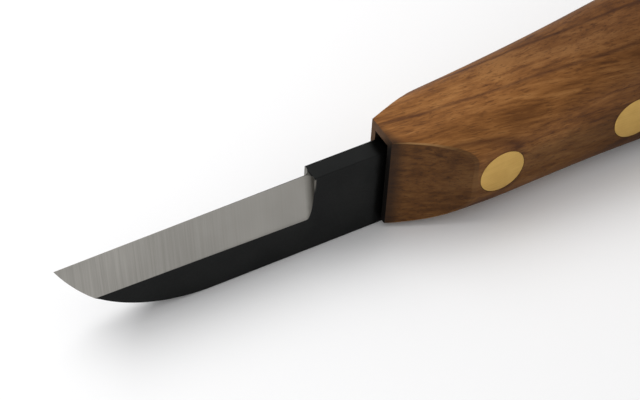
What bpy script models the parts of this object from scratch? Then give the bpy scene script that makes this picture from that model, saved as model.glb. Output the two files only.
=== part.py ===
# Wood carving knife: a bar-stock blade let into the kerf of a one-piece wooden handle and held by two
# two-piece brass rivets. It stands on the flat underside of its handle with the cutting edge up and
# the tip towards -X. The origin is under the middle of its length, on the surface it stands on.

import math

import bmesh
import bpy
from mathutils import Matrix, Vector

MM = 0.001

# Blade, cut from flat bar
BLADE_THICKNESS = 3.2 * MM
BLADE_HEIGHT = 16.0 * MM
EDGE_LENGTH = 43.8 * MM
RICASSO_LENGTH = 12.8 * MM
EDGE_DROP_AT_HEEL = 0.3 * MM
EDGE_DROP_AT_TIP = 0.6 * MM
EDGE_LAND = 0.1 * MM
BELLY_RADIUS = 30.7 * MM
BEVEL_HEIGHT_AT_HEEL = 8.5 * MM
BEVEL_HEIGHT_AT_TIP = 7.3 * MM
PLUNGE_RADIUS = 1.0 * MM
TANG_TAIL = 11.5 * MM
TANG_CORNER_RADIUS = 3.0 * MM

# Handle, one block with a kerf sawn up from its underside
HANDLE_LENGTH = 116.0 * MM
NOSE_CHEEK = 1.15 * MM
NOSE_ROOF = 1.75 * MM
NOSE_RELIEF = 0.9 * MM
RELIEF_LENGTH = 20.0 * MM
FACET_LENGTH = 12.7 * MM
RIDGE_THICKNESS = 17.4 * MM
WAIST_THICKNESS = 16.6 * MM
WAIST_BEHIND_RIDGE = 24.0 * MM
SWELL_THICKNESS = 18.4 * MM
SWELL_FROM_NOSE = 76.0 * MM
BUTT_THICKNESS = 16.4 * MM
CROWN_RISE = 8.7 * MM
CROWN_FROM_NOSE = 68.0 * MM
BUTT_DROP = 5.0 * MM
TOP_EDGE_RADIUS = 6.8 * MM
UNDER_EDGE_RADIUS = 6.3 * MM
BUTT_EDGE_RADIUS = 6.0 * MM
SPINE_INSET = 0.1 * MM
KERF_SIDE_CLEARANCE = 0.25 * MM
KERF_HEADROOM = 1.55 * MM
KERF_END_CLEARANCE = 0.5 * MM

# Rivets: a headed tube from one side takes a headed pin from the other
RIVET_HEAD_RADIUS = 4.1 * MM
RIVET_HEAD_DEPTH = 2.4 * MM
RIVET_TUBE_RADIUS = 2.5 * MM
RIVET_BORE_RADIUS = 1.7 * MM
RIVET_BORE_FLOOR = 2.0 * MM
RIVET_FRONT_FROM_NOSE = 17.8 * MM
RIVET_SPACING = 25.9 * MM
RIVET_ABOVE_SPINE = 9.6 * MM
RIVET_HOLE_CLEARANCE = 0.15 * MM
RIVET_PIN_CLEARANCE = 0.1 * MM
RIVET_END_CLEARANCE = 0.3 * MM

# How finely curves are divided, and how far a cutter reaches past what it cuts
TURNED_SIDES = 32
ROUND_SEGMENTS = 6
SHARP_ANGLE = math.radians(60)
BELLY_SEGMENTS = 20
STATION_SPACING = 4.0 * MM
CUTTER_MARGIN = 6.0 * MM
WELD_DISTANCE = 0.001 * MM

# Sizes that follow from those above
BLADE_LENGTH = EDGE_LENGTH + RICASSO_LENGTH
NOSE_X = (BLADE_LENGTH - HANDLE_LENGTH) / 2
KERF_WIDTH = BLADE_THICKNESS + 2 * KERF_SIDE_CLEARANCE
KERF_TOP = SPINE_INSET + BLADE_HEIGHT + KERF_HEADROOM
NOSE_THICKNESS = KERF_WIDTH + 2 * NOSE_CHEEK
NOSE_HEIGHT = KERF_TOP + NOSE_ROOF
CROWN_HEIGHT = NOSE_HEIGHT + CROWN_RISE
BUTT_HEIGHT = CROWN_HEIGHT - BUTT_DROP
WAIST_X = FACET_LENGTH + WAIST_BEHIND_RIDGE
RIVET_REAR_FROM_NOSE = RIVET_FRONT_FROM_NOSE + RIVET_SPACING
TANG_LENGTH = RIVET_REAR_FROM_NOSE + TANG_TAIL
RIVET_SEAT = WAIST_THICKNESS / 2 - RIVET_HEAD_DEPTH
WIDEST_HALF = max(RIDGE_THICKNESS, WAIST_THICKNESS, SWELL_THICKNESS, BUTT_THICKNESS) / 2
RIVET_REACH = WIDEST_HALF + CUTTER_MARGIN
LARGEST_EDGE_RADIUS = max(TOP_EDGE_RADIUS, UNDER_EDGE_RADIUS, BUTT_EDGE_RADIUS)


def clear_scene():
    for obj in list(bpy.data.objects):
        bpy.data.objects.remove(obj, do_unlink=True)


def new_collection(name):
    collection = bpy.data.collections.new(name)
    bpy.context.scene.collection.children.link(collection)
    return collection


def new_material(name, colour, roughness, metallic):
    material = bpy.data.materials.new(name)
    material.use_nodes = True
    shader = material.node_tree.nodes["Principled BSDF"]
    shader.inputs["Base Color"].default_value = (*colour, 1.0)
    shader.inputs["Roughness"].default_value = roughness
    shader.inputs["Metallic"].default_value = metallic
    material.diffuse_color = (*colour, 1.0)
    return material


def new_object(name, mesh, collection, parent, material=None):
    obj = bpy.data.objects.new(name, mesh)
    collection.objects.link(obj)
    obj.parent = parent
    if material:
        mesh.materials.append(material)
    return obj


def make_cutter(obj):
    obj.hide_render = True
    obj.display_type = "WIRE"
    return obj


def boolean(obj, cutter, operation="DIFFERENCE"):
    modifier = obj.modifiers.new(f"{operation.lower()} {cutter.name}", "BOOLEAN")
    modifier.operation = operation
    modifier.object = cutter
    modifier.solver = "EXACT"


def box_mesh(name, low, high):
    bm = bmesh.new()
    bmesh.ops.create_cube(bm, size=1.0)
    size = Vector(high) - Vector(low)
    middle = (Vector(high) + Vector(low)) / 2
    placing = Matrix.Translation(middle) @ Matrix.Diagonal((*size, 1.0))
    bmesh.ops.transform(bm, matrix=placing, verts=bm.verts)
    return finish_mesh(name, bm)


def finish_mesh(name, bm):
    bm.normal_update()
    bmesh.ops.recalc_face_normals(bm, faces=bm.faces)
    mesh = bpy.data.meshes.new(name)
    bm.to_mesh(mesh)
    bm.free()
    return mesh


def cut_at_stations(bm, stations):
    for x in stations:
        everything = bm.verts[:] + bm.edges[:] + bm.faces[:]
        bmesh.ops.bisect_plane(bm, geom=everything, plane_co=(x, 0, 0), plane_no=(1, 0, 0))


def stations_between(start, end):
    count = max(2, round((end - start) / STATION_SPACING))
    return [start + (end - start) * i / count for i in range(count + 1)]


def blend(x, x_from, value_from, x_to, value_to):
    t = min(max((x - x_from) / (x_to - x_from), 0.0), 1.0)
    return value_from + (value_to - value_from) * t * t * (3 - 2 * t)


# Blade

def edge_height(x):
    share = (-RICASSO_LENGTH - x) / EDGE_LENGTH
    return BLADE_HEIGHT - EDGE_DROP_AT_HEEL - share * (EDGE_DROP_AT_TIP - EDGE_DROP_AT_HEEL)


def bevel_height(x):
    share = (-RICASSO_LENGTH - x) / EDGE_LENGTH
    return BEVEL_HEIGHT_AT_HEEL + share * (BEVEL_HEIGHT_AT_TIP - BEVEL_HEIGHT_AT_HEEL)


def bevel_depth_to_middle(x, z):
    # Half thickness of the ground blade at this place.
    below_edge = (edge_height(x) - z) / bevel_height(x)
    return EDGE_LAND / 2 + (BLADE_THICKNESS - EDGE_LAND) / 2 * below_edge


def arc_points(centre, radius, angle_from, angle_to, segments):
    angles = [angle_from + (angle_to - angle_from) * i / segments for i in range(segments + 1)]
    return [(centre[0] + radius * math.cos(a), centre[1] + radius * math.sin(a)) for a in angles]


def blade_outline():
    # Side view, clockwise from the tang's end: the straight spine turns up to the tip in one arc.
    down = -math.pi / 2
    tip_height = BLADE_HEIGHT - EDGE_DROP_AT_TIP
    belly_run = math.sqrt(BELLY_RADIUS**2 - (BELLY_RADIUS - tip_height) ** 2)
    belly_turn = math.atan2(belly_run, BELLY_RADIUS - tip_height)
    belly_centre = (belly_run - BLADE_LENGTH, BELLY_RADIUS)
    belly = arc_points(belly_centre, BELLY_RADIUS, down, down - belly_turn, BELLY_SEGMENTS)
    heel = [(-RICASSO_LENGTH, edge_height(-RICASSO_LENGTH)), (-RICASSO_LENGTH, BLADE_HEIGHT)]
    corner_x = TANG_LENGTH - TANG_CORNER_RADIUS
    lower_centre = (corner_x, TANG_CORNER_RADIUS)
    upper_centre = (corner_x, BLADE_HEIGHT - TANG_CORNER_RADIUS)
    lower_corner = arc_points(lower_centre, TANG_CORNER_RADIUS, 0, down, ROUND_SEGMENTS)
    upper_corner = arc_points(upper_centre, TANG_CORNER_RADIUS, -down, 0, ROUND_SEGMENTS)
    return lower_corner + belly + heel + upper_corner


def extruded_outline(name, points, half_depth):
    # A flat outline in X and Z, given its thickness along Y.
    curve = bpy.data.curves.new(name, "CURVE")
    curve.dimensions = "2D"
    curve.fill_mode = "BOTH"
    curve.extrude = half_depth
    spline = curve.splines.new("POLY")
    spline.points.add(len(points) - 1)
    for point, (x, z) in zip(spline.points, points):
        point.co = (x, z, 0, 1)
    spline.use_cyclic_u = True
    guide = bpy.data.objects.new(name, curve)
    bpy.context.scene.collection.objects.link(guide)
    graph = bpy.context.evaluated_depsgraph_get()
    raised = bpy.data.meshes.new_from_object(guide.evaluated_get(graph))
    bpy.data.objects.remove(guide)
    bm = bmesh.new()
    bm.from_mesh(raised)
    bmesh.ops.remove_doubles(bm, verts=bm.verts, dist=WELD_DISTANCE)
    bmesh.ops.transform(bm, matrix=Matrix.Rotation(math.pi / 2, 4, "X"), verts=bm.verts)
    return finish_mesh(name, bm)


def bevel_cutter_mesh(name, side):
    # A box whose inner face lies on the ground bevel and whose rear upright edge is the plunge.
    tip_end = -BLADE_LENGTH - CUTTER_MARGIN
    heel_end = -RICASSO_LENGTH
    foot = min(edge_height(x) - bevel_height(x) for x in (-BLADE_LENGTH, heel_end))
    low = foot - CUTTER_MARGIN
    high = BLADE_HEIGHT + CUTTER_MARGIN
    width = BLADE_THICKNESS + 2 * CUTTER_MARGIN
    bm = bmesh.new()
    bmesh.ops.create_cube(bm, size=1.0)
    for vert in bm.verts:
        vert.co.x = heel_end if vert.co.x > 0 else tip_end
        vert.co.y = width if vert.co.y > 0 else 0.0
        vert.co.z = high if vert.co.z > 0 else low
    inner = {v for v in bm.verts if v.co.x > (tip_end + heel_end) / 2 and v.co.y < width / 2}
    plunge = [e for e in bm.edges if inner.issuperset(e.verts)]
    bmesh.ops.bevel(
        bm, geom=plunge, offset=PLUNGE_RADIUS, segments=ROUND_SEGMENTS, profile=0.5, affect="EDGES"
    )
    cut_at_stations(bm, stations_between(tip_end, heel_end - PLUNGE_RADIUS)[1:-1])
    for vert in bm.verts:
        vert.co.y = side * (vert.co.y + bevel_depth_to_middle(vert.co.x, vert.co.z))
    return finish_mesh(name, bm)


# Handle

def half_thickness(x):
    if x < WAIST_X:
        return blend(x, FACET_LENGTH, RIDGE_THICKNESS / 2, WAIST_X, WAIST_THICKNESS / 2)
    if x < SWELL_FROM_NOSE:
        return blend(x, WAIST_X, WAIST_THICKNESS / 2, SWELL_FROM_NOSE, SWELL_THICKNESS / 2)
    return blend(x, SWELL_FROM_NOSE, SWELL_THICKNESS / 2, HANDLE_LENGTH, BUTT_THICKNESS / 2)


def top_height(x):
    if x < CROWN_FROM_NOSE:
        return blend(x, 0.0, NOSE_HEIGHT, CROWN_FROM_NOSE, CROWN_HEIGHT)
    return blend(x, CROWN_FROM_NOSE, CROWN_HEIGHT, HANDLE_LENGTH, BUTT_HEIGHT)


def under_height(x):
    return blend(x, 0.0, NOSE_RELIEF, RELIEF_LENGTH, 0.0)


def handle_edge_radius(edge):
    # The long edges and those round the butt are rounded. The nose is left square.
    first, second = edge.verts
    if min(first.co.x, second.co.x) > HANDLE_LENGTH - BUTT_EDGE_RADIUS:
        return BUTT_EDGE_RADIUS
    if edge.calc_face_angle() < SHARP_ANGLE or max(first.co.x, second.co.x) < 0:
        return 0.0
    return TOP_EDGE_RADIUS if first.co.z > NOSE_HEIGHT / 2 else UNDER_EDGE_RADIUS


def handle_blank_mesh(name):
    # A squared block to the handle's outlines, left long at the nose, which is trimmed later.
    nose_end = -2 * LARGEST_EDGE_RADIUS
    bm = bmesh.new()
    bmesh.ops.create_cube(bm, size=1.0)
    for vert in bm.verts:
        vert.co.x = HANDLE_LENGTH if vert.co.x > 0 else nose_end
    cut_at_stations(bm, stations_between(0.0, HANDLE_LENGTH - 2 * BUTT_EDGE_RADIUS))
    for vert in bm.verts:
        vert.co.y = math.copysign(half_thickness(vert.co.x), vert.co.y)
        vert.co.z = top_height(vert.co.x) if vert.co.z > 0 else under_height(vert.co.x)
    bm.normal_update()
    weight = bm.edges.layers.float.new("bevel_weight_edge")
    for edge in bm.edges:
        edge[weight] = handle_edge_radius(edge) / LARGEST_EDGE_RADIUS
    mesh = finish_mesh(name, bm)
    mesh.shade_smooth()
    return mesh


def round_edges(obj):
    modifier = obj.modifiers.new("rounded edges", "BEVEL")
    modifier.limit_method = "WEIGHT"
    modifier.width = LARGEST_EDGE_RADIUS
    modifier.segments = ROUND_SEGMENTS


def facet_cutter_mesh(name, side):
    # Everything outside the plane from the nose's side edge to the ridge.
    rise = (RIDGE_THICKNESS - NOSE_THICKNESS) / 2
    angle = math.atan2(rise, FACET_LENGTH)
    reach = math.hypot(rise, FACET_LENGTH)
    low = (-CUTTER_MARGIN, 0.0, -CUTTER_MARGIN)
    high = (reach + CUTTER_MARGIN, WIDEST_HALF + CUTTER_MARGIN, CROWN_HEIGHT + CUTTER_MARGIN)
    mesh = box_mesh(name, low, high)
    placing = Matrix.Translation((0, NOSE_THICKNESS / 2, 0)) @ Matrix.Rotation(angle, 4, "Z")
    mesh.transform(Matrix.Diagonal((1, side, 1, 1)) @ placing)
    if side < 0:
        mesh.flip_normals()
    return mesh


# Rivets

def turned_mesh(name, profile):
    # A profile of radius and height, run from top to bottom, for a Screw modifier to turn.
    bm = bmesh.new()
    verts = [bm.verts.new((radius, 0, height)) for radius, height in profile]
    for first, second in zip(verts, verts[1:]):
        bm.edges.new((first, second))
    mesh = bpy.data.meshes.new(name)
    bm.to_mesh(mesh)
    bm.free()
    return mesh


def turn(obj):
    modifier = obj.modifiers.new("turned", "SCREW")
    modifier.steps = TURNED_SIDES
    modifier.render_steps = TURNED_SIDES
    modifier.use_merge_vertices = True
    modifier.merge_threshold = WELD_DISTANCE
    modifier.use_smooth_shade = True


def place_on_rivet_axis(obj, from_nose):
    obj.location = (from_nose, 0, SPINE_INSET + RIVET_ABOVE_SPINE)
    obj.rotation_euler = (math.pi / 2, 0, 0)


def rivet_hole_profile():
    head = RIVET_HEAD_RADIUS + RIVET_HOLE_CLEARANCE
    tube = RIVET_TUBE_RADIUS + RIVET_HOLE_CLEARANCE
    upper = [(0, RIVET_REACH), (head, RIVET_REACH), (head, RIVET_SEAT), (tube, RIVET_SEAT)]
    return upper + [(radius, -height) for radius, height in reversed(upper)]


def rivet_tube_profile():
    under_head = RIVET_SEAT + RIVET_HOLE_CLEARANCE
    tube_end = -RIVET_SEAT + RIVET_END_CLEARANCE
    bore_end = RIVET_SEAT - RIVET_BORE_FLOOR
    outside = [(0, RIVET_REACH), (RIVET_HEAD_RADIUS, RIVET_REACH), (RIVET_HEAD_RADIUS, under_head)]
    tube = [(RIVET_TUBE_RADIUS, under_head), (RIVET_TUBE_RADIUS, tube_end)]
    bore = [(RIVET_BORE_RADIUS, tube_end), (RIVET_BORE_RADIUS, bore_end), (0, bore_end)]
    return outside + tube + bore


def rivet_pin_profile():
    pin_radius = RIVET_BORE_RADIUS - RIVET_PIN_CLEARANCE
    pin_end = RIVET_SEAT - RIVET_BORE_FLOOR - RIVET_END_CLEARANCE
    under_head = -RIVET_SEAT - RIVET_HOLE_CLEARANCE
    pin = [(0, pin_end), (pin_radius, pin_end), (pin_radius, under_head)]
    head = [(RIVET_HEAD_RADIUS, under_head), (RIVET_HEAD_RADIUS, -RIVET_REACH), (0, -RIVET_REACH)]
    return pin + head


# Assembly

def build_blade(parts, cutters, knife, holes):
    material = new_material("blade_steel", (0.025, 0.026, 0.028), 0.5, 0.6)
    mesh = extruded_outline("blade", blade_outline(), BLADE_THICKNESS / 2)
    blade = new_object("blade", mesh, parts, knife, material)
    blade.location.z = SPINE_INSET
    for side, word in ((-1, "near"), (1, "far")):
        name = f"{word}_bevel_cutter"
        cutter = new_object(name, bevel_cutter_mesh(name, side), cutters, knife)
        cutter.location.z = SPINE_INSET
        boolean(blade, make_cutter(cutter))
    for hole in holes:
        boolean(blade, hole)


def build_handle(parts, cutters, knife, holes):
    material = new_material("handle_wood", (0.21, 0.085, 0.032), 0.5, 0.0)
    handle = new_object("handle", handle_blank_mesh("handle"), parts, knife, material)
    round_edges(handle)
    half_width = WIDEST_HALF + CUTTER_MARGIN
    front = (-2 * LARGEST_EDGE_RADIUS - CUTTER_MARGIN, -half_width, -CUTTER_MARGIN)
    back = (0.0, half_width, CROWN_HEIGHT + CUTTER_MARGIN)
    cuts = [new_object("nose_cutter", box_mesh("nose_cutter", front, back), cutters, knife)]
    for side, word in ((-1, "near"), (1, "far")):
        name = f"{word}_facet_cutter"
        cuts.append(new_object(name, facet_cutter_mesh(name, side), cutters, knife))
    low = (-CUTTER_MARGIN, -KERF_WIDTH / 2, -CUTTER_MARGIN)
    high = (TANG_LENGTH + KERF_END_CLEARANCE, KERF_WIDTH / 2, KERF_TOP)
    cuts.append(new_object("kerf_cutter", box_mesh("kerf_cutter", low, high), cutters, knife))
    for cutter in cuts:
        boolean(handle, make_cutter(cutter))
    for hole in holes:
        boolean(handle, hole)


def build_rivet(parts, knife, blank, word, from_nose):
    material = new_material(f"{word}_rivet_brass", (0.72, 0.5, 0.2), 0.35, 1.0)
    for half, profile in (("tube", rivet_tube_profile()), ("pin", rivet_pin_profile())):
        name = f"{word}_rivet_{half}"
        rivet = new_object(name, turned_mesh(name, profile), parts, knife, material)
        turn(rivet)
        place_on_rivet_axis(rivet, from_nose)
        boolean(rivet, blank, "INTERSECT")


def main():
    clear_scene()
    parts = new_collection("wood carving knife")
    cutters = new_collection("wood carving knife cutters")
    knife = bpy.data.objects.new("knife", None)
    parts.objects.link(knife)
    knife.location.x = NOSE_X

    blank = make_cutter(new_object("handle_blank", handle_blank_mesh("handle_blank"), cutters, knife))
    round_edges(blank)
    rivets = (("front", RIVET_FRONT_FROM_NOSE), ("rear", RIVET_REAR_FROM_NOSE))
    holes = []
    for word, from_nose in rivets:
        name = f"{word}_rivet_hole_cutter"
        hole = make_cutter(new_object(name, turned_mesh(name, rivet_hole_profile()), cutters, knife))
        turn(hole)
        place_on_rivet_axis(hole, from_nose)
        holes.append(hole)

    build_blade(parts, cutters, knife, holes)
    build_handle(parts, cutters, knife, holes)
    for word, from_nose in rivets:
        build_rivet(parts, knife, blank, word, from_nose)


main()
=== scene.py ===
import math
import bmesh
import bpy
from mathutils import Matrix, Vector


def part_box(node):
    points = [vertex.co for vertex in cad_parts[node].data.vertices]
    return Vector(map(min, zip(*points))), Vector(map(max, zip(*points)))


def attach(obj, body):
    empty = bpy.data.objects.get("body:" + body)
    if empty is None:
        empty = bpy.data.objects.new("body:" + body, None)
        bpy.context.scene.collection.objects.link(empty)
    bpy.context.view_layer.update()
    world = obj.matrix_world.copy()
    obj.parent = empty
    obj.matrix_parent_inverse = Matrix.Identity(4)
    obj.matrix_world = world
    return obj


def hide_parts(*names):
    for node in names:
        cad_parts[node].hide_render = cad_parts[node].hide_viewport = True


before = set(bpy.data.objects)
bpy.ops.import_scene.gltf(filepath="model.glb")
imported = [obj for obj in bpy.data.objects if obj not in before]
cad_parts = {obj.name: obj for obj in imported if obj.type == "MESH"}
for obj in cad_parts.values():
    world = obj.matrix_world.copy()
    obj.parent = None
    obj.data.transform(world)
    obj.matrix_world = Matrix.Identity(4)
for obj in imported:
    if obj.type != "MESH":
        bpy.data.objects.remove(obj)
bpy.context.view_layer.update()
mm = 0.001
tiny = 0.002 * mm
closest = tiny / 20  # points nearer than this are one
straight = 0.99  # cosine past which a face looks along an axis
squareTurn = 1  # radians past which an edge is a square corner
print("frame loaded:", ", ".join(sorted(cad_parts)))

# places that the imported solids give
bladeLow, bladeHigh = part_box("blade")
handleLow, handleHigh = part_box("handle")
noseX = handleLow.x
buttX = handleHigh.x
spineZ = bladeLow.z
widestHalf = handleHigh.y
crownZ = handleHigh.z


# working by hand: what is active, what is picked, what is cut

def focus(piece):
    if bpy.context.mode != "OBJECT":
        bpy.ops.object.mode_set(mode="OBJECT")
    bpy.ops.object.select_all(action="DESELECT")
    piece.select_set(True)
    bpy.context.view_layer.objects.active = piece


def edit(piece):
    focus(piece)
    bpy.ops.object.mode_set(mode="EDIT")


def leaveEdit():
    bpy.ops.object.mode_set(mode="OBJECT")


def pick(piece, kind, test):
    bpy.ops.mesh.select_mode(type=kind)
    bpy.ops.mesh.select_all(action="DESELECT")
    mesh = bmesh.from_edit_mesh(piece.data)
    mesh.normal_update()
    items = {"VERT": mesh.verts, "EDGE": mesh.edges, "FACE": mesh.faces}[kind]
    for item in items:
        if test(item):
            item.select_set(True)
    mesh.select_flush_mode()
    bmesh.update_edit_mesh(piece.data)


def looksForward(face):
    return face.normal.x < -straight


def slicePiece(place, facing, drop=False):
    bpy.ops.mesh.select_all(action="SELECT")
    bpy.ops.mesh.bisect(
        plane_co=place, plane_no=facing, use_fill=drop, clear_outer=drop, threshold=closest)


def drawOut(x, y, z):
    bpy.ops.mesh.extrude_region_move(TRANSFORM_OT_translate={"value": (x, y, z)})


def roundPicked(width, steps):
    bpy.ops.mesh.bevel(offset=width, segments=steps, profile=0.5, clamp_overlap=False)


def addBox(name, low, high):
    low, high = Vector(low), Vector(high)
    bpy.ops.object.select_all(action="DESELECT")
    bpy.ops.mesh.primitive_cube_add(size=1, location=(low + high) / 2)
    box = bpy.context.active_object
    box.name = box.data.name = name
    box.scale = high - low
    bpy.ops.object.transform_apply(location=True, rotation=True, scale=True)
    return box


def addRod(name, x, z, yFrom, yTo, radius, sides):
    # a cylinder lying across the knife
    bpy.ops.object.select_all(action="DESELECT")
    bpy.ops.mesh.primitive_cylinder_add(
        vertices=sides, radius=radius, depth=yTo - yFrom,
        location=(x, (yFrom + yTo) / 2, z), rotation=(math.pi / 2, 0, 0))
    rod = bpy.context.active_object
    rod.name = rod.data.name = name
    bpy.ops.object.transform_apply(location=True, rotation=True, scale=True)
    return rod


def copyOf(piece, name):
    twin = piece.copy()
    twin.data = piece.data.copy()
    twin.name = twin.data.name = name
    bpy.context.scene.collection.objects.link(twin)
    return twin


def applyModifier(piece, modifier):
    focus(piece)
    bpy.ops.object.modifier_apply(modifier=modifier.name)


def combine(piece, tool, operation="DIFFERENCE", keepTool=False):
    modifier = piece.modifiers.new(operation.lower(), "BOOLEAN")
    modifier.operation = operation
    modifier.object = tool
    modifier.solver = "EXACT"
    modifier.material_mode = "TRANSFER"
    applyModifier(piece, modifier)
    if not keepTool:
        bpy.data.objects.remove(tool, do_unlink=True)


def roundByWeight(piece, width, steps):
    modifier = piece.modifiers.new("rounded edges", "BEVEL")
    modifier.limit_method = "WEIGHT"
    modifier.width = width
    modifier.segments = steps
    return modifier


def finishShading(piece, angle):
    focus(piece)
    bpy.ops.object.shade_smooth_by_angle(angle=math.radians(angle))
    modifier = piece.modifiers.new("flats stay flat", "WEIGHTED_NORMAL")
    modifier.keep_sharp = True
    applyModifier(piece, modifier)


def blend(x, xFrom, valueFrom, xTo, valueTo):
    t = min(max((x - xFrom) / (xTo - xFrom), 0), 1)
    return valueFrom + (valueTo - valueFrom) * t * t * (3 - 2 * t)


# materials: a few helpers, then the effects that several finishes share
noiseSpan = {"From Min": 0.3, "From Max": 0.7}  # where nearly all values of a noise lie
dullShine = 0.1  # specular level of the wood and the table


def addNode(tree, kind, values=None, **settings):
    made = tree.nodes.new(kind)
    for name, value in settings.items():
        setattr(made, name, value)
    for socket, value in (values or {}).items():
        made.inputs[socket].default_value = value
    return made


def newMaterial(name):
    material = bpy.data.materials.new(name)
    material.use_nodes = True
    tree = material.node_tree
    return material, tree, tree.nodes["Principled BSDF"]


def placeOf(tree):
    return addNode(tree, "ShaderNodeTexCoord").outputs["Object"]


def newGroup(name, takes, gives):
    group = bpy.data.node_groups.new(name, "ShaderNodeTree")
    for socket, kind, value in takes:
        made = group.interface.new_socket(socket, in_out="INPUT", socket_type=kind)
        made.default_value = value
    for socket in gives:
        group.interface.new_socket(socket, in_out="OUTPUT", socket_type="NodeSocketFloat")
    return group, group.nodes.new("NodeGroupInput"), group.nodes.new("NodeGroupOutput")


def placeGroup(tree, group, place, values=None):
    made = addNode(tree, "ShaderNodeGroup", values, node_tree=group)
    tree.links.new(place, made.inputs["Vector"])
    return made.outputs


def makeLinesGroup():
    # fine lines drawn out along one direction, each a little lighter or darker
    group, given, out = newGroup(
        "fineLines",
        [("Vector", "NodeSocketVector", (0, 0, 0)), ("Stretch", "NodeSocketVector", (1, 1, 1)),
         ("Detail", "NodeSocketFloat", 4)],
        ["Lines"])
    stretched = addNode(group, "ShaderNodeVectorMath", operation="MULTIPLY")
    noise = addNode(group, "ShaderNodeTexNoise", {"Scale": 1, "Roughness": 0.65})
    spread = addNode(group, "ShaderNodeMapRange", noiseSpan)
    group.links.new(given.outputs["Vector"], stretched.inputs[0])
    group.links.new(given.outputs["Stretch"], stretched.inputs[1])
    group.links.new(stretched.outputs["Vector"], noise.inputs["Vector"])
    group.links.new(given.outputs["Detail"], noise.inputs["Detail"])
    group.links.new(noise.outputs["Fac"], spread.inputs["Value"])
    group.links.new(spread.outputs["Result"], out.inputs["Lines"])
    return group


def makeMottleGroup():
    # soft patches, and fine specks apart from them
    group, given, out = newGroup(
        "mottle",
        [("Vector", "NodeSocketVector", (0, 0, 0)), ("Patch Scale", "NodeSocketFloat", 100),
         ("Speck Scale", "NodeSocketFloat", 2000)],
        ["Patches", "Specks"])
    patches = addNode(group, "ShaderNodeTexNoise", {"Detail": 3, "Roughness": 0.5})
    specks = addNode(group, "ShaderNodeTexNoise", {"Detail": 2, "Roughness": 0.6})
    for scale, noise, result in (("Patch Scale", patches, "Patches"), ("Speck Scale", specks, "Specks")):
        spread = addNode(group, "ShaderNodeMapRange", noiseSpan)
        group.links.new(given.outputs["Vector"], noise.inputs["Vector"])
        group.links.new(given.outputs[scale], noise.inputs["Scale"])
        group.links.new(noise.outputs["Fac"], spread.inputs["Value"])
        group.links.new(spread.outputs["Result"], out.inputs[result])
    return group


def makeReachGroup():
    # how far a place lies along one axis: 0 before the start, 1 past the end, ragged in between
    group, given, out = newGroup(
        "reach",
        [("Vector", "NodeSocketVector", (0, 0, 0)), ("Axis", "NodeSocketVector", (1, 0, 0)),
         ("Start", "NodeSocketFloat", 0), ("End", "NodeSocketFloat", 1), ("Ragged", "NodeSocketFloat", 0)],
        ["Mask"])
    along = addNode(group, "ShaderNodeVectorMath", operation="DOT_PRODUCT")
    noise = addNode(group, "ShaderNodeTexNoise", {"Scale": 900, "Detail": 2})
    ragged = addNode(group, "ShaderNodeMath", operation="MULTIPLY_ADD")
    mask = addNode(group, "ShaderNodeMapRange", interpolation_type="SMOOTHSTEP")
    group.links.new(given.outputs["Vector"], along.inputs[0])
    group.links.new(given.outputs["Axis"], along.inputs[1])
    group.links.new(given.outputs["Vector"], noise.inputs["Vector"])
    group.links.new(noise.outputs["Fac"], ragged.inputs[0])
    group.links.new(given.outputs["Ragged"], ragged.inputs[1])
    group.links.new(along.outputs["Value"], ragged.inputs[2])
    group.links.new(ragged.outputs["Value"], mask.inputs["Value"])
    group.links.new(given.outputs["Start"], mask.inputs["From Min"])
    group.links.new(given.outputs["End"], mask.inputs["From Max"])
    group.links.new(mask.outputs["Result"], out.inputs["Mask"])
    return group


linesGroup = makeLinesGroup()
mottleGroup = makeMottleGroup()
reachGroup = makeReachGroup()


def reachMask(tree, place, start, end, axis=(1, 0, 0), ragged=0):
    values = {"Axis": axis, "Start": start, "End": end, "Ragged": ragged}
    return placeGroup(tree, reachGroup, place, values)["Mask"]


def feed(tree, socket, value):
    # a socket takes a plain value or another node's output
    if isinstance(value, (int, float, tuple)):
        socket.default_value = value
    else:
        tree.links.new(value, socket)


def dress(tree, shader, looks):
    for name, value in looks.items():
        feed(tree, shader.inputs[name], value)


def rangeOf(tree, value, low, high):
    # a mask from 0 to 1 turned into a value between low and high
    made = addNode(tree, "ShaderNodeMapRange", {"To Min": low, "To Max": high})
    tree.links.new(value, made.inputs["Value"])
    return made.outputs["Result"]


def mixColours(tree, factor, first, second, mode="MIX"):
    made = addNode(tree, "ShaderNodeMix", data_type="RGBA", blend_type=mode)
    # a mix node repeats its sockets' names for each kind of value, so colours go by number
    for socket, value in ((0, factor), (6, first), (7, second)):
        feed(tree, made.inputs[socket], value)
    return made.outputs[2]


def mathOf(tree, operation, first, second=0):
    made = addNode(tree, "ShaderNodeMath", operation=operation)
    feed(tree, made.inputs[0], first)
    feed(tree, made.inputs[1], second)
    return made.outputs[0]


def sumOf(tree, *terms):
    # each value times its share
    parts = [mathOf(tree, "MULTIPLY", value, share) for value, share in terms]
    total = parts[0]
    for part in parts[1:]:
        total = mathOf(tree, "ADD", total, part)
    return total


def raiseBump(tree, shader, height, depth, strength=0.5):
    bump = addNode(tree, "ShaderNodeBump", {"Strength": strength, "Distance": depth})
    tree.links.new(height, bump.inputs["Height"])
    tree.links.new(bump.outputs["Normal"], shader.inputs["Normal"])


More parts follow.
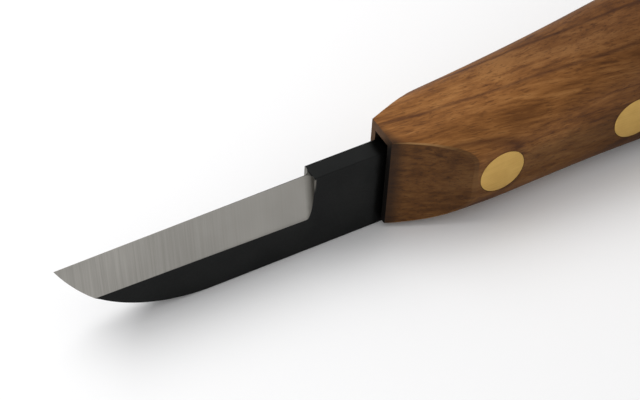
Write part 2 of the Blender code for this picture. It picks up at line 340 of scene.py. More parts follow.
# steel left black from rolling, for the flats of the blade
blackScale = {
    "dark": (0.0045, 0.005, 0.005, 1),
    "light": (0.0085, 0.009, 0.0088, 1),
    "patches": 160,
    "specks": 5200,
    "roughness": (0.42, 0.6),
    "shine": 0.08,
    "bump": 0.01 * mm,
    "paintedShade": (0.0018, 0.0018, 0.0016, 1),  # painted shade on the tang just before the nose
    "shadeFrom": 1.8 * mm,
    "shadeTo": 0.54 * mm,
    "shadeRagged": 0.4 * mm,
    "bare": (0.2, 0.19, 0.168, 1),  # the grinding belt caught the corner behind the plunge
    "bareBehind": (0.42 * mm, 0.084 * mm),
    "bareBelow": (3.4 * mm, 1 * mm),  # measured down from the top, as is the next
    "bareEnds": (0.2 * mm, 0.5 * mm),
}


def makeBlackScale():
    s = blackScale
    material, tree, shader = newMaterial("blackScale")
    place = placeOf(tree)
    mottle = placeGroup(tree, mottleGroup, place, {"Patch Scale": s["patches"], "Speck Scale": s["specks"]})
    # painted shade: the tang darkens just before the nose
    paintedShade = reachMask(tree, place, noseX - s["shadeFrom"], noseX - s["shadeTo"], ragged=s["shadeRagged"])
    behind = reachMask(tree, place, *(-heelX - run for run in s["bareBehind"]), axis=(-1, 0, 0))
    below = reachMask(tree, place, *(bladeHigh.z - run for run in s["bareBelow"]), axis=(0, 0, 1))
    ends = reachMask(tree, place, *(run - bladeHigh.z for run in s["bareEnds"]), axis=(0, 0, -1))
    bare = mathOf(tree, "MULTIPLY", mathOf(tree, "MULTIPLY", behind, below), ends)
    scale = mixColours(tree, mottle["Patches"], s["dark"], s["light"])
    shadedScale = mixColours(tree, paintedShade, scale, s["paintedShade"])
    dress(tree, shader, {
        "Base Color": mixColours(tree, bare, shadedScale, s["bare"]),
        "Metallic": mathOf(tree, "MAXIMUM", paintedShade, bare),  # so that the painted shade takes no sheen
        "Roughness": rangeOf(tree, mottle["Specks"], *s["roughness"]),
        "Specular IOR Level": s["shine"]})
    raiseBump(tree, shader, mottle["Specks"], s["bump"])
    return material


# bare steel off the grinding belt, with its lines running across the blade
groundSteel = {
    "dark": (0.233, 0.225, 0.206, 1),
    "light": (0.365, 0.352, 0.326, 1),
    "fine": {"Stretch": (3100, 240, 45), "Detail": 2},
    "fineShare": 0.75,
    "coarse": {"Stretch": (1400, 90, 18), "Detail": 1},
    "coarseShare": 0.25,
    "ruled": (0.22, 0.75),  # how far the lines show, more towards the tip
    "ruledFrom": 40 * mm,
    "ruledTo": 5 * mm,
    "patches": 70,
    "cloudy": 0.35,
    "middle": 0.5,  # the tone that lines and patches vary about
    "plungeShade": (0.15, 0.143, 0.128, 1),  # painted shade in the plunge
    "plungeShadeFrom": 1.1 * mm,
    "plungeShadeTo": 0.1 * mm,
    "plungeShadeRagged": 0.2 * mm,
    "roughness": (0.3, 0.46),
    "bump": 0.006 * mm,
}


def makeGroundSteel():
    s = groundSteel
    material, tree, shader = newMaterial("groundSteel")
    place = placeOf(tree)
    fine = placeGroup(tree, linesGroup, place, s["fine"])["Lines"]
    coarse = placeGroup(tree, linesGroup, place, s["coarse"])["Lines"]
    patches = placeGroup(tree, mottleGroup, place, {"Patch Scale": s["patches"]})["Patches"]
    tip = -bladeLow.x
    nearTip = reachMask(tree, place, tip - s["ruledFrom"], tip - s["ruledTo"], axis=(-1, 0, 0))
    # painted shade: the steel darkens towards the plunge
    plunge = reachMask(tree, place, heelX - s["plungeShadeFrom"], heelX - s["plungeShadeTo"], ragged=s["plungeShadeRagged"])
    lines = sumOf(tree, (fine, s["fineShare"]), (coarse, s["coarseShare"]))
    varied = sumOf(
        tree,
        (mathOf(tree, "SUBTRACT", lines, s["middle"]), rangeOf(tree, nearTip, *s["ruled"])),
        (mathOf(tree, "SUBTRACT", patches, s["middle"]), s["cloudy"]))
    tone = mathOf(tree, "ADD", varied, s["middle"])
    ground = mixColours(tree, tone, s["dark"], s["light"])
    dress(tree, shader, {
        "Base Color": mixColours(tree, plunge, ground, s["plungeShade"]),
        "Roughness": rangeOf(tree, lines, *s["roughness"]),
        "Metallic": 1})
    raiseBump(tree, shader, lines, s["bump"])
    return material


# brass sanded flush with the wood
sandedBrass = {
    "dark": (0.52, 0.32, 0.084, 1),
    "light": (0.67, 0.435, 0.132, 1),
    "lines": {"Stretch": (90, 5000, 4200), "Detail": 3},
    "lineShare": 0.6,
    "patches": 420,
    "patchShare": 0.4,
    "roughness": (0.34, 0.5),
    "bump": 0.006 * mm,
}


def makeSandedBrass():
    s = sandedBrass
    material, tree, shader = newMaterial("sandedBrass")
    place = placeOf(tree)
    lines = placeGroup(tree, linesGroup, place, s["lines"])["Lines"]
    patches = placeGroup(tree, mottleGroup, place, {"Patch Scale": s["patches"]})["Patches"]
    tone = sumOf(tree, (lines, s["lineShare"]), (patches, s["patchShare"]))
    dress(tree, shader, {
        "Base Color": mixColours(tree, tone, s["dark"], s["light"]),
        "Roughness": rangeOf(tree, lines, *s["roughness"]),
        "Metallic": 1})
    raiseBump(tree, shader, lines, s["bump"])
    return material


# the wood's own pattern through the whole block, so that end grain follows long grain
woodFigure = {
    "turn": (0, math.radians(-3), math.radians(9)),  # the grain isn't quite true to the handle
    "start": (-0.1887, 0.0336, -0.0067),  # which stretch of the figure this block shows
    "driftScale": 45,
    "drift": (0, 2 * mm, 2 * mm),
    "bands": {"Stretch": (22, 170, 170), "Detail": 3},
    "bandShare": 0.5,
    "fibres": {"Stretch": (240, 1700, 1700), "Detail": 4},
    "fibreShare": 0.3,
    "streaks": {"Stretch": (90, 1100, 1100), "Detail": 6},
    "streakShare": 0.2,
    "pores": {"Stretch": (420, 4200, 4200), "Detail": 1},
    "shown": {"streaks": (0.66, 0.92), "pores": (0.74, 0.9)},  # only their strongest lines
    "ringAt": -3.55 * mm,
    "ringSpacing": 6.8 * mm,
    "ringWidth": 0.08,  # share of the spacing
    "ringBreaks": (0.42, 1.05),
}


def makeFigureGroup():
    s = woodFigure
    group, given, out = newGroup(
        "woodFigure",
        [("Vector", "NodeSocketVector", (0, 0, 0))],
        ["Tone", "Streaks", "Pores", "Fibres", "Rings"])
    turned = addNode(group, "ShaderNodeMapping", {"Rotation": s["turn"]})
    group.links.new(given.outputs["Vector"], turned.inputs["Vector"])
    # fibres wander, so the figure is pushed about a little
    noise = addNode(group, "ShaderNodeTexNoise", {"Scale": s["driftScale"], "Detail": 2})
    group.links.new(turned.outputs["Vector"], noise.inputs["Vector"])
    push = addNode(group, "ShaderNodeVectorMath", {1: (0.5, 0.5, 0.5)}, operation="SUBTRACT")
    group.links.new(noise.outputs["Color"], push.inputs[0])
    drift = addNode(group, "ShaderNodeVectorMath", {1: s["drift"]}, operation="MULTIPLY_ADD")
    group.links.new(push.outputs["Vector"], drift.inputs[0])
    group.links.new(turned.outputs["Vector"], drift.inputs[2])
    moved = addNode(group, "ShaderNodeVectorMath", {1: s["start"]}, operation="ADD")
    group.links.new(drift.outputs["Vector"], moved.inputs[0])
    lines = {}
    for name in ("bands", "streaks", "fibres", "pores"):
        lines[name] = placeGroup(group, linesGroup, moved.outputs["Vector"], s[name])["Lines"]
    unstreaked = mathOf(group, "SUBTRACT", 1, lines["streaks"])
    tone = sumOf(group, (lines["bands"], s["bandShare"]), (lines["fibres"], s["fibreShare"]),
                 (unstreaked, s["streakShare"]))
    group.links.new(tone, out.inputs["Tone"])
    group.links.new(lines["fibres"], out.inputs["Fibres"])
    for name, (low, high) in s["shown"].items():
        mask = addNode(group, "ShaderNodeMapRange", {"From Min": low, "From Max": high},
                       interpolation_type="SMOOTHSTEP")
        group.links.new(lines[name], mask.inputs["Value"])
        group.links.new(mask.outputs["Result"], out.inputs[name.title()])
    # year rings: dark sheets some way apart, broken up along the grain
    across = addNode(group, "ShaderNodeSeparateXYZ")
    group.links.new(drift.outputs["Vector"], across.inputs["Vector"])
    behind = mathOf(group, "SUBTRACT", across.outputs["Y"], s["ringAt"])
    count = mathOf(group, "DIVIDE", behind, s["ringSpacing"])
    part = mathOf(group, "FRACT", mathOf(group, "ADD", count, 0.5))
    nearest = mathOf(group, "ABSOLUTE", mathOf(group, "SUBTRACT", part, 0.5))
    ring = addNode(group, "ShaderNodeMapRange", {"From Min": s["ringWidth"], "From Max": 0},
                   interpolation_type="SMOOTHSTEP")
    group.links.new(nearest, ring.inputs["Value"])
    breaks = rangeOf(group, lines["streaks"], *s["ringBreaks"])
    group.links.new(mathOf(group, "MULTIPLY", ring.outputs["Result"], breaks), out.inputs["Rings"])
    return group


# oiled brown hardwood, its grain along the handle
oiledWood = {
    "dark": (0.127, 0.0465, 0.0112, 1),
    "middle": (0.2245, 0.0895, 0.0238, 1),
    "light": (0.32, 0.143, 0.0437, 1),
    "tones": (0.28, 0.5, 0.72),  # where these three lie
    "streak": (0.068, 0.023, 0.0085, 1),
    "streakShare": 0.5,
    "ringShare": 0.85,
    "facetRingShare": 0.12,  # the facets cut the rings slantwise and hardly show them
    "pore": (0.065, 0.024, 0.008, 1),
    "poreShare": 0.45,
    "flankShade": (0.54, 0.555, 0.57, 1),  # painted shade: the lower flanks are darkened
    "flankFrom": 13.8 * mm,
    "flankTo": 8.5 * mm,
    "flankRagged": 3 * mm,
    "ridge": (0.77, 0.755, 0.75, 1),  # the facets darken towards their ridge
    "ridgeFrom": 7.0 * mm,
    "ridgeTo": 11.0 * mm,
    "ridgeRagged": 2 * mm,
    "deep": (0.56, 0.545, 0.58, 1),  # the wood is darker towards the rear and the far side
    "deepWay": (0.507, 0.862, 0),
    "deepFrom": 8 * mm,
    "deepTo": 21 * mm,
    "deepRagged": 3 * mm,
    "paintedShade": (0.02, 0.011, 0.007, 1),  # painted shade on the near corner of the nose
    "shadeShare": 0.8,
    "shadeAt": (noseX, -3 * mm, 0),
    "shadeWay": (-0.94, -0.34, 0),
    "shadeRun": 2.0 * mm,
    "shadeRagged": 0.4 * mm,
    # rubbed edges are paler, with a painted highlight along them
    "wornSheen": (0.42, 0.23, 0.09, 1),
    "wornSheenShare": (0.3, 1),  # pale grain wears most
    "roughness": (0.52, 0.7),
    "bump": 0.03 * mm,
    "fibreRise": 0.5,  # against the depth of the pores
}


def makeOiledWood():
    s = oiledWood
    material, tree, shader = newMaterial("oiledWood")
    place = placeOf(tree)
    figure = placeGroup(tree, figureGroup, place)
    facet = addNode(tree, "ShaderNodeAttribute", attribute_name="facet").outputs["Fac"]
    wear = addNode(tree, "ShaderNodeAttribute", attribute_name="edgeWearSheen").outputs["Fac"]
    ramp = addNode(tree, "ShaderNodeValToRGB")
    stops = ramp.color_ramp.elements
    stops[0].position, stops[1].position = s["tones"][0], s["tones"][2]
    stops[0].color, stops[1].color = s["dark"], s["light"]
    stops.new(s["tones"][1]).color = s["middle"]
    tree.links.new(figure["Tone"], ramp.inputs["Fac"])
    colour = ramp.outputs["Color"]
    rings = rangeOf(tree, facet, s["ringShare"], s["facetRingShare"])
    for mask, share, tint in (
            (figure["Rings"], rings, s["streak"]),
            (figure["Streaks"], s["streakShare"], s["streak"]),
            (figure["Pores"], s["poreShare"], s["pore"])):
        colour = mixColours(tree, mathOf(tree, "MULTIPLY", mask, share), colour, tint)
    flankShade = reachMask(tree, place, -s["flankFrom"], -s["flankTo"], (0, 0, -1), s["flankRagged"])
    # painted shade on the lower flanks; the facets take it at any height
    shade = addNode(tree, "ShaderNodeMix", {"B": 1})
    tree.links.new(facet, shade.inputs["Factor"])
    tree.links.new(flankShade, shade.inputs["A"])
    ridge = reachMask(tree, place, noseX + s["ridgeFrom"], noseX + s["ridgeTo"], ragged=s["ridgeRagged"])
    nose = noseX * s["deepWay"][0]
    deep = reachMask(tree, place, nose + s["deepFrom"], nose + s["deepTo"], s["deepWay"], s["deepRagged"])
    for mask, tint in (
            (shade.outputs["Result"], s["flankShade"]),
            (mathOf(tree, "MULTIPLY", ridge, facet), s["ridge"]),
            (deep, s["deep"])):
        colour = mixColours(tree, mask, colour, tint, "MULTIPLY")
    # painted shade: the near front corner of the nose is darkened
    corner = Vector(s["shadeAt"]).dot(Vector(s["shadeWay"]))
    paintedShade = reachMask(tree, place, corner - s["shadeRun"], corner, s["shadeWay"], s["shadeRagged"])
    colour = mixColours(tree, mathOf(tree, "MULTIPLY", paintedShade, s["shadeShare"]), colour, s["paintedShade"])
    # paler rubbed wood and a painted highlight along the rubbed edge
    rubbedSheen = mathOf(tree, "MULTIPLY", wear, rangeOf(tree, figure["Tone"], *s["wornSheenShare"]))
    dress(tree, shader, {
        "Base Color": mixColours(tree, rubbedSheen, colour, s["wornSheen"]),
        "Roughness": rangeOf(tree, figure["Fibres"], *s["roughness"]),
        "Specular IOR Level": dullShine})
    fibres = mathOf(tree, "MULTIPLY", figure["Fibres"], s["fibreRise"])
    raiseBump(tree, shader, mathOf(tree, "SUBTRACT", fibres, figure["Pores"]), s["bump"])
    return material


# the same wood cut at the nose, where it drinks oil and shows dark, and sawn for the tang, where the slot
# is painted near black as shade
endGrain = {
    "dark": (0.064, 0.031, 0.0145, 1),
    "light": (0.13, 0.07, 0.037, 1),
    "paintedShade": (0.005, 0.004, 0.0032, 1),
    "roughness": 0.7,
}
# painted shade: the slot's sawn faces are near black
shadedKerf = {
    "dark": (0.006, 0.004, 0.003, 1),
    "light": (0.018, 0.011, 0.007, 1),
    "paintedShade": (0.004, 0.003, 0.002, 1),
    "roughness": 0.85,
}
cutWood = {  # what both cuts share
    "cheekShadeWay": (0, -0.8, -0.6),  # painted shade on the near cheek of the nose, deeper this way
    "cheekShadeFrom": -11.2 * mm,
    "cheekShadeTo": -8.0 * mm,
    "cheekShadeRagged": 0.4 * mm,
    "bump": 0.03 * mm,
    "bumpStrength": 0.6,
}


def makeDarkWood(name, tints):
    s = cutWood
    material, tree, shader = newMaterial(name)
    place = placeOf(tree)
    figure = placeGroup(tree, figureGroup, place)
    # painted shade on the near cheek, over the cut wood's own tone
    cheekShade = reachMask(tree, place, s["cheekShadeFrom"], s["cheekShadeTo"], s["cheekShadeWay"], s["cheekShadeRagged"])
    unshaded = mixColours(tree, figure["Tone"], tints["dark"], tints["light"])
    dress(tree, shader, {
        "Base Color": mixColours(tree, cheekShade, unshaded, tints["paintedShade"]),
        "Roughness": tints["roughness"],
        "Specular IOR Level": dullShine})
    raiseBump(tree, shader, figure["Fibres"], s["bump"], s["bumpStrength"])
    return material


# the handle: a block drawn to its outlines, rounded, faceted at the nose and sawn for the tang
handleShape = {
    "noseZ": 19.4 * mm,
    "crownAt": 68 * mm,  # places along the handle run from the nose
    "buttDrop": 5.0 * mm,
    "noseRelief": 0.9 * mm,
    "reliefRun": 20 * mm,
    "noseHalf": 3.0 * mm,
    "ridgeHalf": 8.7 * mm,
    "ridgeAt": 12.7 * mm,
    "ridgeClear": (-2.5 * mm, 1.5 * mm),  # no station this near, where the facets are cut
    "waistHalf": 8.3 * mm,
    "waistAt": 36.7 * mm,
    "swellAt": 76 * mm,
    "buttHalf": 8.2 * mm,
    "topRound": 6.8 * mm,
    "underRound": 6.3 * mm,
    "buttRound": 6.0 * mm,
    "roundSteps": 10,
    "stationStep": 4 * mm,
    "kerfGap": 0.25 * mm,
    "kerfHeadroom": 1.55 * mm,
    "kerfEnd": 0.5 * mm,
    "overcut": 5 * mm,  # how far the saw passes the nose and the underside
    "crispFrom": math.radians(15),
    "widestWear": 0.5 * mm,
    "wearSteps": 4,
    "wear": [  # from, to and how far an edge there is rubbed
        (0.1 * mm, 6 * mm, 0.22 * mm),
        (6 * mm, 8.5 * mm, 0.28 * mm),
        (8.5 * mm, 10.5 * mm, 0.36 * mm),
        (10.5 * mm, 14 * mm, 0.5 * mm),
    ],
    "paleTo": 4.5 * mm,  # up to here a rubbed edge is pale all over
    "paleEnd": 10 * mm,
    "paleLeast": 0.1,
    "smoothBelow": 40,
}


def handleHalf(x):
    s = handleShape
    if x < s["waistAt"]:
        return blend(x, s["ridgeAt"], s["ridgeHalf"], s["waistAt"], s["waistHalf"])
    if x < s["swellAt"]:
        return blend(x, s["waistAt"], s["waistHalf"], s["swellAt"], widestHalf)
    return blend(x, s["swellAt"], widestHalf, buttX - noseX, s["buttHalf"])


def handleTop(x):
    s = handleShape
    if x < s["crownAt"]:
        return blend(x, 0, s["noseZ"], s["crownAt"], crownZ)
    return blend(x, s["crownAt"], crownZ, buttX - noseX, crownZ - s["buttDrop"])


def handleUnder(x):
    return blend(x, 0, handleShape["noseRelief"], handleShape["reliefRun"], 0)


def facetPlane(side):
    # a point on one nose facet and its outward direction
    s = handleShape
    facing = Vector((s["noseHalf"] - s["ridgeHalf"], side * s["ridgeAt"], 0))
    return Vector((noseX, side * s["noseHalf"], 0)), facing.normalized()


def makeHandleBlank():
    s = handleShape
    widest = max(s["topRound"], s["underRound"], s["buttRound"])
    overhang = 2 * widest
    length = buttX - noseX
    blank = addBox("handleBlank", (noseX - overhang, -widestHalf, 0), (buttX, widestHalf, crownZ))
    edit(blank)
    lastCut = length - 2 * s["buttRound"]
    steps = round(lastCut / s["stationStep"])
    stations = [lastCut * i / steps for i in range(steps + 1)]
    before, behind = s["ridgeClear"]
    stations = [x for x in stations if not before < x - s["ridgeAt"] < behind]
    for x in stations:
        slicePiece((noseX + x, 0, 0), (1, 0, 0))
    for x in [-overhang, *stations, length]:
        here = noseX + x
        pick(blank, "VERT", lambda v: abs(v.co.x - here) < tiny)
        bpy.ops.transform.resize(value=(1, handleHalf(x) / widestHalf, 1))
        pick(blank, "VERT", lambda v: abs(v.co.x - here) < tiny and v.co.z > crownZ / 2)
        bpy.ops.transform.translate(value=(0, 0, handleTop(x) - crownZ))
        pick(blank, "VERT", lambda v: abs(v.co.x - here) < tiny and v.co.z < crownZ / 2)
        bpy.ops.transform.translate(value=(0, 0, handleUnder(x)))
    # how far each edge is rounded, as a share of the largest round
    middle = s["noseZ"] / 2

    def along(edge):
        run = abs(edge.verts[0].co.x - edge.verts[1].co.x)
        return run > mm and edge.calc_face_angle() > squareTurn

    pick(blank, "EDGE", lambda e: along(e) and e.verts[0].co.z > middle)
    bpy.ops.transform.edge_bevelweight(value=s["topRound"] / widest)
    pick(blank, "EDGE", lambda e: along(e) and e.verts[0].co.z < middle)
    bpy.ops.transform.edge_bevelweight(value=s["underRound"] / widest)
    pick(blank, "EDGE", lambda e: min(v.co.x for v in e.verts) > buttX - s["buttRound"])
    bpy.ops.transform.edge_bevelweight(value=s["buttRound"] / widest)
    leaveEdit()
    applyModifier(blank, roundByWeight(blank, widest, s["roundSteps"]))
    blank.data.attributes.remove(blank.data.attributes["bevel_weight_edge"])
    return blank


def onFacet(vert):
    for side in (-1, 1):
        place, facing = facetPlane(side)
        if abs((vert.co - place).dot(facing)) < tiny:
            return True
    return False


def makeHandle(blank):
    s = handleShape
    handle = copyOf(blank, "woodHandle")
    for material in (woodMaterial, endMaterial):
        handle.data.materials.append(material)
    edit(handle)
    for side in (-1, 1):
        place, facing = facetPlane(side)
        slicePiece(place, facing, drop=True)
    slicePiece((noseX, 0, 0), (-1, 0, 0), drop=True)
    pick(handle, "FACE", looksForward)
    handle.active_material_index = 1
    bpy.ops.object.material_slot_assign()
    leaveEdit()
    kerfHalf = bladeHigh.y + s["kerfGap"]
    kerf = addBox("kerf", (noseX - s["overcut"], -kerfHalf, -s["overcut"]),
                  (bladeHigh.x + s["kerfEnd"], kerfHalf, bladeHigh.z + s["kerfHeadroom"]))
    kerf.data.materials.append(shadedKerfMaterial)
    combine(handle, kerf)
    for word in ("front", "rear"):
        for tool in rivetHoles(word):
            combine(handle, tool)
    # the crisp edges are rubbed soft, the ridge behind each facet the most
    edit(handle)

    def crisp(edge, xFrom, xTo):
        if not edge.is_manifold or edge.calc_face_angle() < s["crispFrom"]:
            return False
        middle = (edge.verts[0].co.x + edge.verts[1].co.x) / 2 - noseX
        return xFrom <= middle < xTo and all(onFacet(v) for v in edge.verts)

    for xFrom, xTo, wear in s["wear"]:
        pick(handle, "EDGE", lambda e: crisp(e, xFrom, xTo))
        bpy.ops.transform.edge_bevelweight(value=wear / s["widestWear"])
    leaveEdit()
    # the worn strip has a slot of its own, so that its points can be told apart
    handle.data.materials.append(woodMaterial)
    strip = len(handle.data.materials) - 1
    rubbing = roundByWeight(handle, s["widestWear"], s["wearSteps"])
    rubbing.use_clamp_overlap = False
    rubbing.material = strip
    applyModifier(handle, rubbing)
    # how rubbed each point is, which also sets the painted highlight: none at the nose and the strip's
    # borders, less towards the ridge
    edit(handle)
    mesh = bmesh.from_edit_mesh(handle.data)
    wornSheen = mesh.verts.layers.float.new("edgeWearSheen")
    flat = mesh.verts.layers.float.new("facet")
    for vert in mesh.verts:
        inside = all(face.material_index == strip for face in vert.link_faces)
        vert[flat] = 1.0 if inside or onFacet(vert) else 0.0
        rubbedSheen = blend(vert.co.x - noseX, s["paleTo"], 1.0, s["paleEnd"], s["paleLeast"])
        vert[wornSheen] = rubbedSheen if inside and vert.co.x > noseX + s["widestWear"] else 0.0
    bmesh.update_edit_mesh(handle.data)
    leaveEdit()
    finishShading(handle, s["smoothBelow"])
    return handle


# the rivets: a headed tube from the near side takes a headed pin from the far side
rivetShape = {
    "headDepth": 2.4 * mm,
    "tubeRadius": 2.5 * mm,
    "boreRadius": 1.7 * mm,
    "boreFloor": 2.0 * mm,
    "holeGap": 0.06 * mm,
    "pinGap": 0.1 * mm,
    "endGap": 0.3 * mm,
    "sides": 64,
    "rim": 0.07 * mm,
    "rimSteps": 2,
    "proud": 6 * mm,  # left long, then cut back to the handle
    "smoothBelow": 40,
}
rivetSeat = handleShape["waistHalf"] - rivetShape["headDepth"]
rivetReach = widestHalf + rivetShape["proud"]
shankHole = rivetShape["tubeRadius"] + rivetShape["holeGap"]


def rivetPlace(word):
    low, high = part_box(word + "_rivet_tube")
    return (low.x + high.x) / 2, (low.z + high.z) / 2, (high.x - low.x) / 2


def rivetHoles(word):
    s = rivetShape
    x, z, headRadius = rivetPlace(word)
    headHole = headRadius + s["holeGap"]
    shank = addRod("shankHole", x, z, -rivetReach, rivetReach, shankHole, s["sides"])
    near = addRod("nearSeat", x, z, -rivetReach, -rivetSeat, headHole, s["sides"])
    far = addRod("farSeat", x, z, rivetSeat, rivetReach, headHole, s["sides"])
    return shank, near, far


def capFacing(piece, direction):
    # the flat end that looks along +Y or -Y and lies furthest that way
    reach = max(v.co.y * direction for v in piece.data.vertices)

    def isCap(face):
        level = face.calc_center_median().y * direction
        return face.normal.y * direction > straight and abs(level - reach) < tiny

    return isCap


def makeRivetHalf(word, half, blank):
    s = rivetShape
    x, z, headRadius = rivetPlace(word)
    side = -1 if half == "tube" else 1
    underHead = rivetSeat + s["holeGap"]
    ends = sorted((side * underHead, side * rivetReach))
    rivet = addRod(word + "Rivet" + half.title(), x, z, ends[0], ends[1], headRadius, s["sides"])
    shankRadius = s["tubeRadius"] if half == "tube" else s["boreRadius"] - s["pinGap"]
    boreEnd = -rivetSeat + s["boreFloor"]
    shankEnd = rivetSeat - s["endGap"] if half == "tube" else boreEnd + s["endGap"]
    edit(rivet)
    pick(rivet, "FACE", capFacing(rivet, -side))
    bpy.ops.mesh.inset(thickness=headRadius - shankRadius)
    drawOut(0, shankEnd - side * underHead, 0)
    if half == "tube":
        bpy.ops.mesh.inset(thickness=shankRadius - s["boreRadius"])
        drawOut(0, boreEnd - shankEnd, 0)
    leaveEdit()
    combine(rivet, blank, "INTERSECT", keepTool=True)
    # break the rim where the head meets the wood
    edit(rivet)

    def rim(edge):
        outside = all(v.co.y * side > rivetSeat + mm for v in edge.verts)
        return outside and edge.is_manifold and edge.calc_face_angle() > squareTurn

    pick(rivet, "EDGE", rim)
    roundPicked(s["rim"], s["rimSteps"])
    leaveEdit()
    finishShading(rivet, s["smoothBelow"])
    rivet.data.materials.clear()
    rivet.data.materials.append(brassMaterial)
    return rivet


# the blade: a bar with its belly cut round, both sides ground and a tang behind
bladeShape = {
    "edgeLength": 43.8 * mm,
    "heelStep": 0.05 * mm,
    "heelDrop": 0.3 * mm,
    "tipDrop": 0.6 * mm,
    "edgeLand": 0.1 * mm,
    "bellyRadius": 30.7 * mm,
    "bellyCuts": 24,
    "grindAtHeel": 8.5 * mm,
    "grindAtTip": 7.3 * mm,
    "grindMargin": 6 * mm,  # how far the grinding tool passes the bar
    "plungeRadius": 1.0 * mm,
    "plungeSteps": 8,
    "grindSteps": 20,
    "grindLevels": 6,
    "tangRound": 3.0 * mm,
    "tangSteps": 6,
    "edgeBreak": 0.18 * mm,
    "breakSteps": 2,
    "breakBelow": 9 * mm,  # the lower corners are broken up to this height over the spine
    "smoothBelow": 30,
}
heelX = bladeLow.x + bladeShape["edgeLength"]


def towardsTip(x):
    # 0 at the heel of the cutting edge, 1 at the tip
    return (heelX - x) / bladeShape["edgeLength"]


def edgeZ(x):
    s = bladeShape
    return bladeHigh.z - s["heelDrop"] - towardsTip(x) * (s["tipDrop"] - s["heelDrop"])


def grindHalf(x, z):
    # half the ground blade's thickness at this place
    s = bladeShape
    height = s["grindAtHeel"] + towardsTip(x) * (s["grindAtTip"] - s["grindAtHeel"])
    land = s["edgeLand"] / 2
    return land + (bladeHigh.y - land) * (edgeZ(x) - z) / height


def makeGrindTool(side):
    # a block whose inner face lies on the bevel and whose rear corner is the plunge
    s = bladeShape
    margin = s["grindMargin"]
    front = bladeLow.x - margin
    low, high = spineZ - margin, bladeHigh.z + margin
    tool = addBox("grindTool", (front, 0, low), (heelX, 4 * margin, high))
    edit(tool)
    pick(tool, "EDGE", lambda e: all(v.co.x > heelX - tiny and v.co.y < tiny for v in e.verts))
    roundPicked(s["plungeRadius"], s["plungeSteps"])
    back = heelX - s["plungeRadius"]
    for i in range(1, s["grindSteps"]):
        slicePiece((front + (back - front) * i / s["grindSteps"], 0, 0), (1, 0, 0))
    levels = [low + (high - low) * i / s["grindLevels"] for i in range(s["grindLevels"] + 1)]
    for z in levels[1:-1]:
        slicePiece((0, 0, z), (0, 0, 1))
    columns = sorted({round(v.co.x, 7) for v in bmesh.from_edit_mesh(tool.data).verts})
    for x in columns:
        for z in levels:
            pick(tool, "VERT", lambda v: abs(v.co.x - x) < tiny and abs(v.co.z - z) < tiny)
            bpy.ops.transform.translate(value=(0, grindHalf(x, z), 0))
    if side < 0:
        bpy.ops.mesh.select_all(action="SELECT")
        bpy.ops.transform.resize(value=(1, -1, 1), center_override=(0, 0, 0))
        bpy.ops.mesh.normals_make_consistent(inside=False)
    leaveEdit()
    tool.data.materials.append(steelMaterial)
    return tool


def makeBlade():
    s = bladeShape
    half = bladeHigh.y
    blade = addBox("groundBlade", (heelX, -half, spineZ), (bladeHigh.x, half, bladeHigh.z))
    blade.data.materials.append(scaleMaterial)
    edit(blade)
    # the tang's end is rounded off before the front is drawn out of the bar
    pick(blade, "EDGE", lambda e: all(v.co.x > bladeHigh.x - tiny for v in e.verts)
         and abs(e.verts[0].co.y - e.verts[1].co.y) > half)
    roundPicked(s["tangRound"], s["tangSteps"])
    # the edge steps down at the heel and falls a little more towards the tip
    step = s["heelStep"]
    pick(blade, "FACE", looksForward)
    drawOut(-step, 0, 0)
    pick(blade, "VERT", lambda v: v.co.x < heelX - step / 2 and v.co.z > spineZ + mm)
    bpy.ops.transform.translate(value=(0, 0, -s["heelDrop"]))
    pick(blade, "FACE", lambda f: looksForward(f) and f.calc_center_median().x < heelX - step + tiny)
    drawOut(step - s["edgeLength"], 0, 0)
    pick(blade, "VERT", lambda v: v.co.x < bladeLow.x + mm and v.co.z > spineZ + mm)
    bpy.ops.transform.translate(value=(0, 0, s["heelDrop"] - s["tipDrop"]))
    # the belly: flats tangent to one arc, from the spine up to the tip
    radius = s["bellyRadius"]
    turn = math.acos(1 - (edgeZ(bladeLow.x) - spineZ) / radius)
    centre = Vector((bladeLow.x + radius * math.sin(turn), 0, spineZ + radius))
    for i in range(s["bellyCuts"]):
        angle = turn * (i + 0.5) / s["bellyCuts"]
        facing = Vector((-math.sin(angle), 0, -math.cos(angle)))
        slicePiece(centre + radius * facing, facing, drop=True)
    leaveEdit()
    for side in (-1, 1):
        combine(blade, makeGrindTool(side))
    for word in ("front", "rear"):
        x, z = rivetPlace(word)[:2]
        combine(blade, addRod("tangHole", x, z, -2 * half, 2 * half, shankHole, rivetShape["sides"]))
    edit(blade)
    # the bar's own corners are broken a little, the cutting edge isn't

    def barCorner(edge):
        if not edge.is_manifold or edge.calc_face_angle() < squareTurn:
            return False
        first, second = (v.co for v in edge.verts)
        flat = all(abs(abs(p.y) - half) < tiny for p in (first, second))
        upper = all(p.z > bladeHigh.z - tiny for p in (first, second))
        lower = (first + second).z / 2 < spineZ + s["breakBelow"] and first.x < noseX
        return flat and (upper or lower)

    pick(blade, "EDGE", barCorner)
    roundPicked(s["edgeBreak"], s["breakSteps"])
    leaveEdit()
    finishShading(blade, s["smoothBelow"])
    return blade


figureGroup = makeFigureGroup()
scaleMaterial = makeBlackScale()
steelMaterial = makeGroundSteel()
brassMaterial = makeSandedBrass()
woodMaterial = makeOiledWood()
endMaterial = makeDarkWood("endGrain", endGrain)
shadedKerfMaterial = makeDarkWood("shadedKerf", shadedKerf)
print("finishes ready")

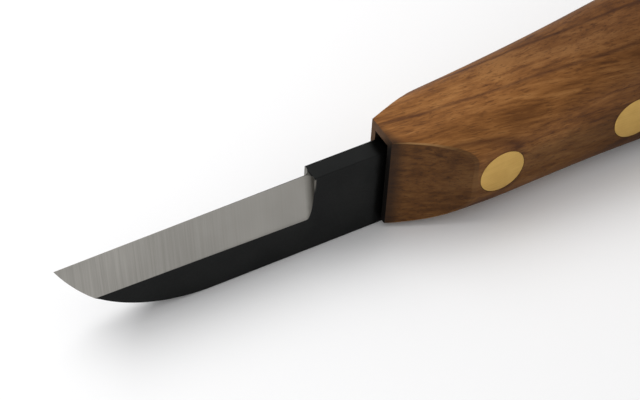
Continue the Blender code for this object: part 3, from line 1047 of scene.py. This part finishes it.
handleBlank = makeHandleBlank()
print("handle blank:", len(handleBlank.data.polygons), "faces")
rivets = {}
for word in ("front", "rear"):
    for half in ("tube", "pin"):
        rivets[word + "_rivet_" + half] = makeRivetHalf(word, half, handleBlank)
handle = makeHandle(handleBlank)
bpy.data.objects.remove(handleBlank, do_unlink=True)
blade = makeBlade()
for piece, node, slot in [(blade, "blade", "blade_steel"), (handle, "handle", "handle_wood"),
                          *((rivet, node, "rivet_brass") for node, rivet in rivets.items())]:
    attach(piece, "root")
    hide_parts(node)
    print(piece.name, "replaces", node, "with", len(piece.data.polygons), "faces")


# the table and the light over it
stageLook = {
    "floorSize": 6.0,
    "floorColour": (0.93, 0.93, 0.935, 1),
    "floorRoughness": 0.8,
    "ambient": 0.62,
    "backdrop": 1,  # as the camera and reflections see it
    "keyPlace": (-0.16, 0.177, 0.382),  # over the blade, on its far side
    "keySize": 0.34,
    "keyPower": 1.22,
}


def makeStage():
    s = stageLook
    bpy.ops.object.select_all(action="DESELECT")
    bpy.ops.mesh.primitive_plane_add(size=s["floorSize"], location=(0, 0, 0))
    floor = bpy.context.active_object
    floor.name = "tableTop"
    material, tree, shader = newMaterial("whiteTable")
    dress(tree, shader, {
        "Base Color": s["floorColour"],
        "Roughness": s["floorRoughness"],
        "Specular IOR Level": dullShine})
    floor.data.materials.append(material)
    world = bpy.data.worlds.new("studio")
    world.use_nodes = True
    bpy.context.scene.world = world
    tree = world.node_tree
    rays = addNode(tree, "ShaderNodeLightPath")
    seen = mathOf(tree, "MAXIMUM", rays.outputs["Is Camera Ray"], rays.outputs["Is Glossy Ray"])
    strength = addNode(tree, "ShaderNodeMix", {"A": s["ambient"], "B": s["backdrop"]})
    tree.links.new(seen, strength.inputs["Factor"])
    dress(tree, tree.nodes["Background"], {"Color": (1, 1, 1, 1), "Strength": strength.outputs["Result"]})
    key = bpy.data.lights.new("softBox", "AREA")
    key.size = s["keySize"]
    key.energy = s["keyPower"]
    lamp = bpy.data.objects.new("softBox", key)
    bpy.context.scene.collection.objects.link(lamp)
    lamp.location = s["keyPlace"]
    lamp.rotation_euler = (Vector((noseX, 0, 0)) - lamp.location).to_track_quat("-Z", "Y").to_euler()


# the camera, from how the photograph shows the nose of the handle
photoView = {
    "azimuth": 32.6,
    "elevation": 46.6,
    "roll": 3.86,
    "distance": 423.35 * mm,
    "pixelsPerMetre": 6313,
    "aimAboveSpine": 8 * mm,
    "aimPixel": (377.70, 180.57),
    "imageSize": (640, 400),
    "sensor": 36,  # in millimetres, as lenses are given
    "clipStart": 10 * mm,
}


def makeCamera():
    s = photoView
    turn, tilt, roll = (math.radians(s[name]) for name in ("azimuth", "elevation", "roll"))
    ahead = Vector((math.sin(turn) * math.cos(tilt), math.cos(turn) * math.cos(tilt), -math.sin(tilt)))
    level = Vector((math.cos(turn), -math.sin(turn), 0))
    upright = level.cross(ahead)
    right = math.cos(roll) * level + math.sin(roll) * upright
    up = math.cos(roll) * upright - math.sin(roll) * level
    aim = Vector((noseX, 0, spineZ + s["aimAboveSpine"]))
    offRight, offDown = (
        (pixel - size / 2) / s["pixelsPerMetre"] for pixel, size in zip(s["aimPixel"], s["imageSize"]))
    place = aim - offRight * right + offDown * up - s["distance"] * ahead
    lens = bpy.data.cameras.new("photoCamera")
    camera = bpy.data.objects.new("photoCamera", lens)
    bpy.context.scene.collection.objects.link(camera)
    camera.matrix_world = Matrix.Translation(place) @ Matrix((right, up, -ahead)).transposed().to_4x4()
    lens.sensor_width = s["sensor"]
    lens.lens = s["pixelsPerMetre"] * s["distance"] / s["imageSize"][0] * s["sensor"]
    lens.clip_start = s["clipStart"]
    bpy.context.scene.camera = camera


makeStage()
makeCamera()
bpy.context.scene.view_settings.view_transform = "Standard"
print("stage and camera ready")
